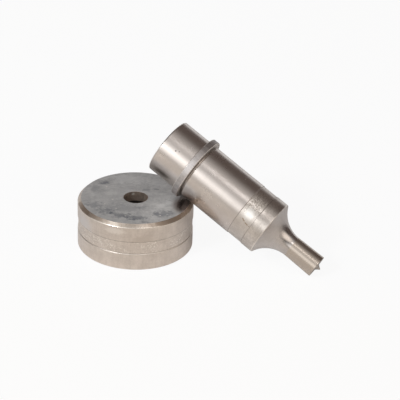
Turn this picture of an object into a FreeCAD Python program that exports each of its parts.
import FreeCAD, Part
import math
import os

# A punch and die set for a turret punch press, lying as it is kept on a bench:
# the round die stands on its base, and the punch leans over the die's rim with
# its point down. Millimetres, +Z up, origin at the centre of the die's base.
# +X is the way the leaning punch points.

# Die
die_diameter = 53.975
die_height = 23.3
die_rim_chamfer = 1.58
die_base_chamfer = 0.4
die_bore = 11.5
die_land = 4.8              # straight cutting length below the top face
relief_step = 1.2           # length of the cone that opens the bore below the land
relief_diameter = 13.7      # where that cone ends
relief_base_diameter = 16.0
die_band_height = 8.0       # lower edge of the shallow marking band, above the base
die_band_width = 6.7
die_band_depth = 0.3
die_band_edge = 0.25        # height of the band's sloping edges

# Punch: stations are measured along its axis from the end of its head
shank_diameter = 26.9875
shank_length = 61.55
head_length = 15.4          # from the end of the head to the ring groove
head_chamfer = 0.5
centre_hole_diameter = 3.2
centre_hole_angle = 60.0
groove_width = 4.2
groove_depth = 1.6
groove_edge_break = 0.2
end_land = 6.35             # full-size stretch between the marking band and the flare
shank_band_width = 7.94
shank_band_depth = 0.2
shank_band_edge = 0.2
shank_end_break = 0.3
flare_radius = 14.29
point_diameter = 10.7       # at the cutting edge
point_length = 14.5         # straight stretch past the flare
back_taper = 0.29           # how much the point's radius falls from its edge to the flare
nib_diameter = 3.7
nib_height = 2.0
nib_flat = 0.4              # diameter of the nib's blunt end
nib_hollow = 0.12           # how far the nib's flank curves in from a straight cone

# Lift ring: a split ring that turns freely in the groove
ring_diameter = 31.4
ring_width = 3.175
ring_chamfer = 0.25
ring_split = 2.5
ring_side_gap = 0.06        # to the groove wall that pushes on it
ring_running_gap = 0.08     # to the bottom of the groove

# How the punch leans on the die
lean_offset = 15.55         # from the die's axis to the punch's axis, seen from above
rest_gap = 0.05             # left at each of its three resting places

shank_radius = shank_diameter / 2
point_radius = point_diameter / 2
ring_radius = ring_diameter / 2
groove_radius = shank_radius - groove_depth
groove_end = head_length + groove_width
ring_start = head_length + ring_side_gap
ring_end = ring_start + ring_width

root_radius = point_radius - back_taper
flare_drop = min(shank_radius - shank_end_break - root_radius, flare_radius)
flare_run = math.sqrt(flare_radius ** 2 - (flare_radius - flare_drop) ** 2)
flare_end = shank_length + flare_run
punch_length = flare_end + point_length


def point_on_profile(radius, station):
    return FreeCAD.Vector(radius, 0, station)


def line(start, end):
    return Part.LineSegment(point_on_profile(*start), point_on_profile(*end)).toShape()


def lines(corners):
    return [line(a, b) for a, b in zip(corners, corners[1:])]


def arc(start, middle, end):
    ends = [point_on_profile(*p) for p in (start, middle, end)]
    return Part.Arc(*ends).toShape()


def turned(edges):
    """Revolve a closed half profile, as a lathe would cut it, about the Z axis."""
    face = Part.Face(Part.Wire(edges))
    return face.revolve(FreeCAD.Vector(0, 0, 0), FreeCAD.Vector(0, 0, 1), 360)


def band(radius, depth, start, width, edge):
    """Corners of a shallow recess with sloping edges, turned round a cylinder."""
    return [
        (radius, start),
        (radius - depth, start + edge),
        (radius - depth, start + width - edge),
        (radius, start + width),
    ]


def die():
    outside = die_diameter / 2
    cutting = die_bore / 2
    land_end = die_height - die_land
    corners = [
        (relief_base_diameter / 2, 0),
        (outside - die_base_chamfer, 0),
        (outside, die_base_chamfer),
        *band(outside, die_band_depth, die_band_height, die_band_width, die_band_edge),
        (outside, die_height - die_rim_chamfer),
        (outside - die_rim_chamfer, die_height),
        (cutting, die_height),
        (cutting, land_end),
        (relief_diameter / 2, land_end - relief_step),
        (relief_base_diameter / 2, 0),
    ]
    return turned(lines(corners))


def head_corners():
    """The end of the head with its centre hole, and the groove that holds the ring."""
    hole = centre_hole_diameter / 2
    hole_depth = hole / math.tan(math.radians(centre_hole_angle / 2))
    return [
        (0, hole_depth),
        (hole, 0),
        (shank_radius - head_chamfer, 0),
        (shank_radius, head_chamfer),
        (shank_radius, head_length - groove_edge_break),
        (shank_radius - groove_edge_break, head_length),
        (groove_radius, head_length),
        (groove_radius, groove_end),
        (shank_radius - groove_edge_break, groove_end),
        (shank_radius, groove_end + groove_edge_break),
    ]


def shank_corners():
    """The shank's marking band and its lower end, up to the start of the flare."""
    band_start = shank_length - end_land - shank_band_width
    return [
        *band(shank_radius, shank_band_depth, band_start, shank_band_width, shank_band_edge),
        (shank_radius, shank_length - shank_end_break),
        (shank_radius - shank_end_break, shank_length),
        (root_radius + flare_drop, shank_length),
    ]


def flare():
    """The large hollow radius between the shank and the point, tangent to the point."""
    centre_radius = root_radius + flare_radius
    sweep = math.acos((flare_radius - flare_drop) / flare_radius)
    middle = (
        centre_radius - flare_radius * math.cos(sweep / 2),
        flare_end - flare_radius * math.sin(sweep / 2),
    )
    return arc((root_radius + flare_drop, shank_length), middle, (root_radius, flare_end))


def nib():
    """The small centring nib on the end of the point, with slightly hollow flanks."""
    foot = (nib_diameter / 2, punch_length)
    tip = (nib_flat / 2, punch_length + nib_height)
    flank = math.hypot(foot[0] - tip[0], nib_height)
    middle = (
        (foot[0] + tip[0]) / 2 - nib_hollow * nib_height / flank,
        (foot[1] + tip[1]) / 2 - nib_hollow * (foot[0] - tip[0]) / flank,
    )
    return [arc(foot, middle, tip), line(tip, (0, tip[1]))]


def without_repeats(corners):
    kept = corners[:1]
    for corner in corners[1:]:
        if math.dist(corner, kept[-1]) > 1e-6:
            kept.append(corner)
    return kept


def punch():
    """Head, groove, shank, flare, point and nib: one piece of steel, turned and ground."""
    shank = without_repeats(head_corners() + shank_corners())
    point = [
        (root_radius, flare_end),
        (point_radius, punch_length),
        (nib_diameter / 2, punch_length),
    ]
    axis = line((0, punch_length + nib_height), shank[0])
    return turned(lines(shank) + [flare()] + lines(point) + nib() + [axis])


def lift_ring():
    """A square-edged split ring. Its gap faces +Y."""
    inside = groove_radius + ring_running_gap
    corners = [
        (inside, ring_start),
        (ring_radius - ring_chamfer, ring_start),
        (ring_radius, ring_start + ring_chamfer),
        (ring_radius, ring_end - ring_chamfer),
        (ring_radius - ring_chamfer, ring_end),
        (inside, ring_end),
        (inside, ring_start),
    ]
    gap_start = FreeCAD.Vector(-ring_split / 2, 0, ring_start - ring_width)
    gap = Part.makeBox(ring_split, 2 * ring_radius, 3 * ring_width, gap_start)
    return turned(lines(corners)).cut(gap)


def lean_angle():
    """Slope of the punch when its cutting edge is on the bench and its ring is on the die.

    The ring's lowest corner is the one on its outside, next to its lower chamfer.
    """
    reach = punch_length - (ring_end - ring_chamfer)
    step = ring_radius - point_radius
    return math.asin(die_height / math.hypot(reach, step)) + math.atan2(step, reach)


def lean_placement():
    """Put the punch's axis where it clears the bench, the die's top and the die's rim."""
    slope = lean_angle()
    head_z = rest_gap + point_radius * math.cos(slope) + punch_length * math.sin(slope)
    rim = die_diameter / 2 - die_rim_chamfer
    reach = shank_radius + rest_gap
    crossings = []
    for step in range(-9000, 9000):
        turn = math.radians(step / 100)
        aside = rim * math.sin(turn) - lean_offset
        if abs(aside) < reach:
            across = math.sqrt(reach ** 2 - aside ** 2) / math.sin(slope)
            crossings.append(rim * math.cos(turn) + across)
    head_x = max(crossings) - (head_z - die_height) / math.tan(slope)
    head = FreeCAD.Vector(head_x, lean_offset, head_z)
    turn = FreeCAD.Rotation(FreeCAD.Vector(0, 1, 0), 90 + math.degrees(slope))
    return FreeCAD.Placement(head, turn)


def main():
    lean = lean_placement()
    placed = {"die": die(), "punch": punch(), "lift_ring": lift_ring()}
    os.makedirs("parts", exist_ok=True)
    for name, shape in placed.items():
        if name != "die":
            shape.Placement = lean
        shape.exportStep(f"parts/{name}.step")
        print(name, len(shape.Solids), "solid, valid", shape.isValid(), round(shape.Volume, 1), "mm3")
    direction = lean.Rotation.multVec(FreeCAD.Vector(0, 0, 1))
    print("head at", [round(v, 4) for v in lean.Base], "axis", [round(v, 6) for v in direction])
    print("slope", round(math.degrees(lean_angle()), 3), "punch length", round(punch_length, 3))
    print("flare ends at", round(flare_end, 3), "ring from", ring_start, "to", ring_end)


main()
